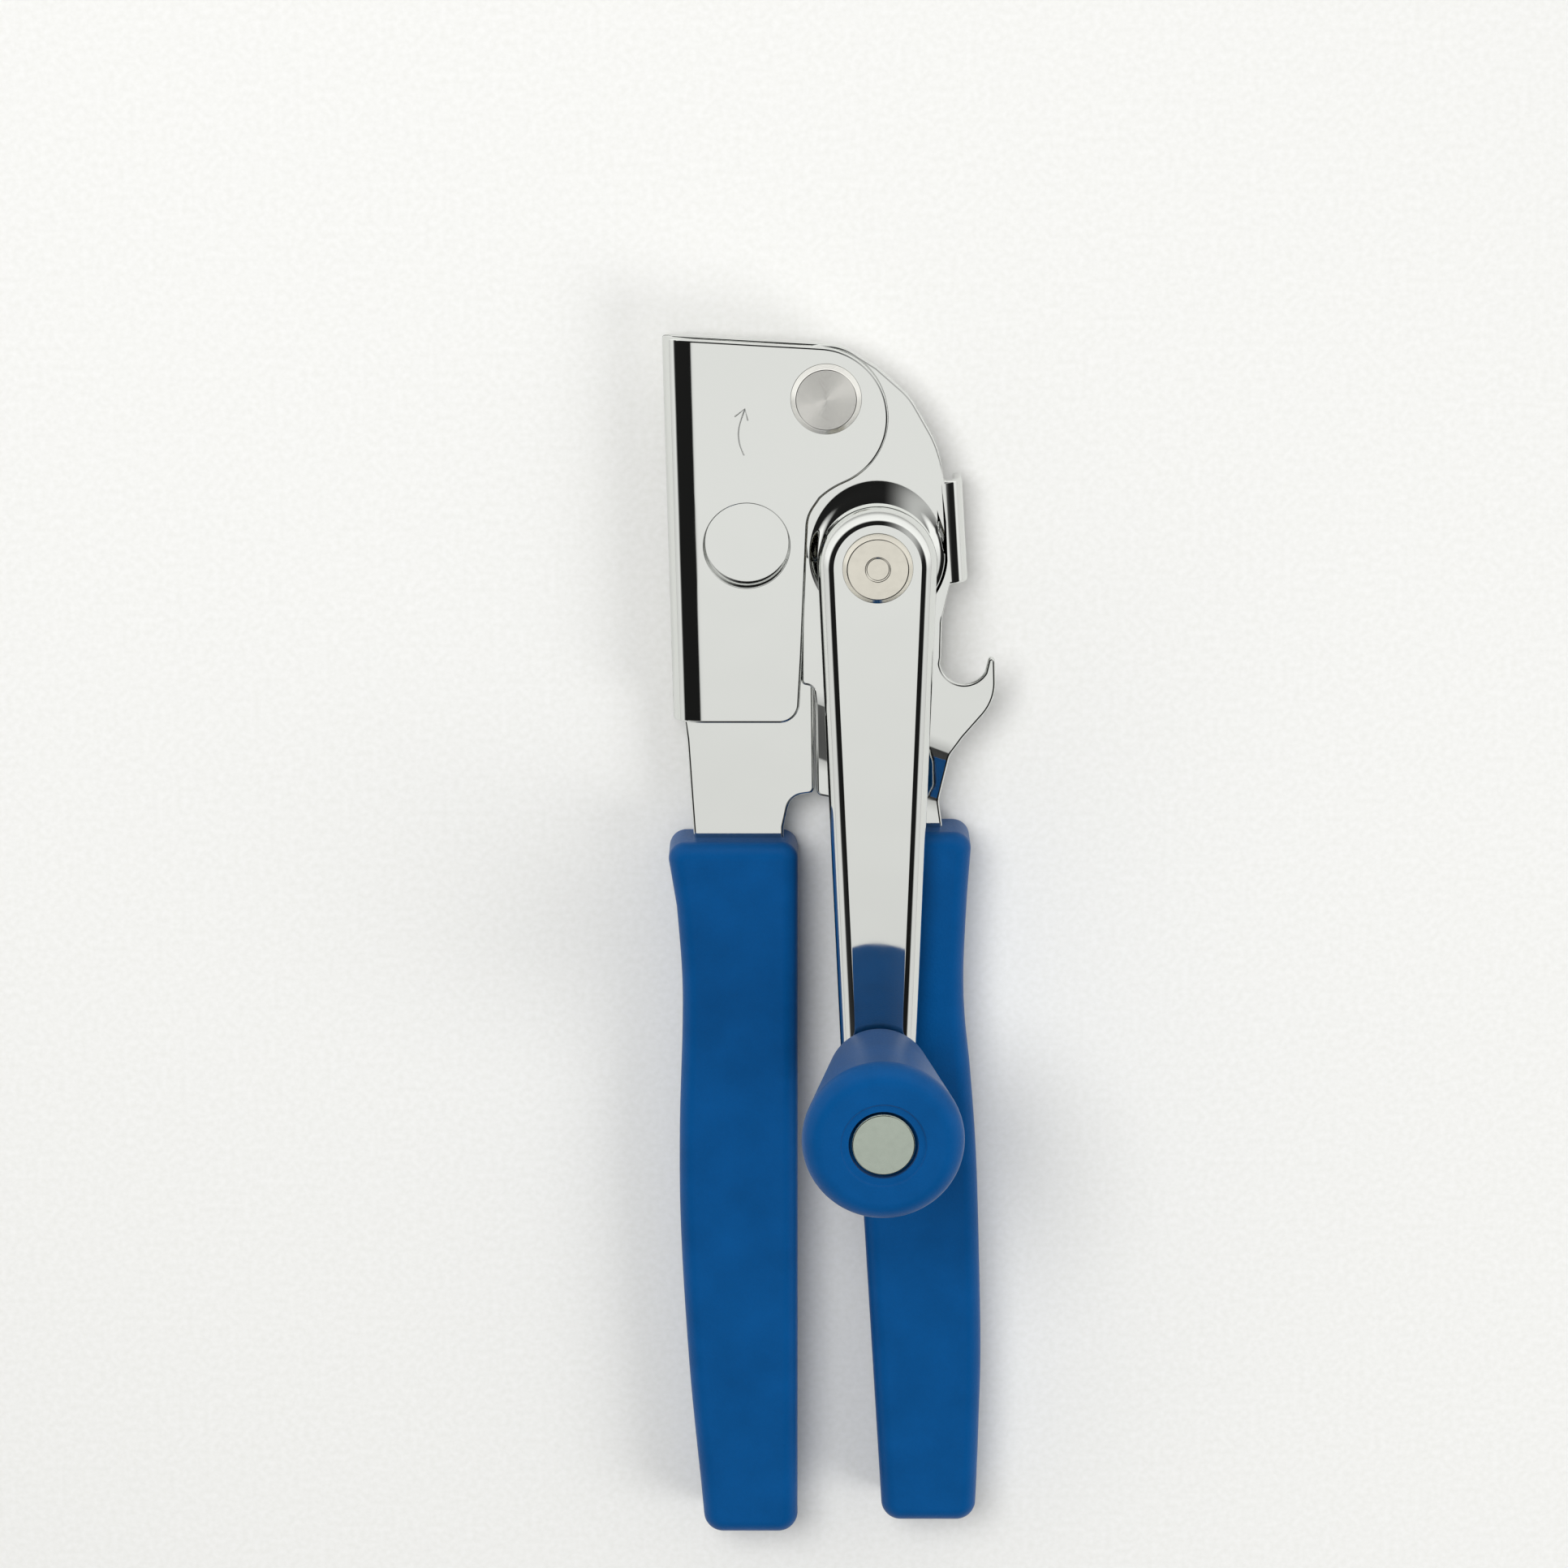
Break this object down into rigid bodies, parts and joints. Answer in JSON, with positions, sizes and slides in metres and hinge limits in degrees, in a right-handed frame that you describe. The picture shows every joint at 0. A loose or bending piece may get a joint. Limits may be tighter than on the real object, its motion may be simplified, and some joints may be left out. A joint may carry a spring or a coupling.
{
  "type": "manual can opener",
  "caption": "Hand-cranked can opener: two riveted pressed-steel arms with moulded grips, geared cutting and feed wheels, bottle hook, and a long crank with a turning knob.",
  "frame": {"origin": "middle of the footprint, on the surface that the opener lies on", "axes": "+Y runs from the grips to the head, +Z from the grips' rear faces up to the knob, +X to the right with the crank side up and the head away"},
  "size_m": [0.0586, 0.2222, 0.0623],
  "materials": {
    "chrome_plate": "bright chrome plate on pressed sheet steel",
    "blue_plastic": "moulded blue plastic with a fine matte grain",
    "satin_steel": "lathe-turned satin steel",
    "nickel_steel": "warm nickel plate over a turned head",
    "hard_steel": "hardened steel with a fine ground face",
    "zinc_steel": "clear zinc plate",
    "brass_bush": "plain turned brass"
  },
  "bodies": {
    "left_handle": {"left_arm": "chrome_plate", "left_grip": "blue_plastic", "pivot_rivet": "satin_steel", "pivot_spacer": "zinc_steel", "pivot_washer": "zinc_steel", "cutter_stud": "satin_steel", "cutter_spacer": "zinc_steel"},
    "cutter": {"cutter_gear": "hard_steel", "cutter_wheel": "satin_steel"},
    "right_handle": {"right_arm": "chrome_plate", "right_grip": "blue_plastic", "shaft_bushing": "brass_bush"},
    "crank": {"crank_shaft": "nickel_steel", "spring_washer": "hard_steel", "drive_gear": "hard_steel", "feed_spacer": "zinc_steel", "feed_wheel": "hard_steel", "feed_retainer": "zinc_steel", "crank_arm": "chrome_plate", "knob_washer": "zinc_steel", "knob_pin": "zinc_steel"},
    "knob_body": {"knob": "blue_plastic"}
  },
  "joints": [
    {"name": "handle_pivot", "type": "hinge", "parent": "left_handle", "child": "right_handle", "pos_m": [-0.00077, 0.10052, 0.0135], "axis": [0, 0, 1], "range_deg": [0, 50]},
    {"name": "crank_spin", "type": "hinge", "parent": "right_handle", "child": "crank", "pos_m": [0.00817, 0.07235, 0.0135], "axis": [0, 0, 1], "continuous": true},
    {"name": "knob_spin", "type": "hinge", "parent": "crank", "child": "knob_body", "pos_m": [0.00883, -0.01958, 0.0235], "axis": [0, 0, 1], "continuous": true},
    {"name": "cutter_spin", "type": "hinge", "parent": "left_handle", "child": "cutter", "pos_m": [-0.01462, 0.07457, 0.0055], "axis": [0, 0, 1], "continuous": true}
  ],
  "couplings": [
    {"joint": "cutter_spin", "follows": "crank_spin", "ratio": -1}
  ]
}
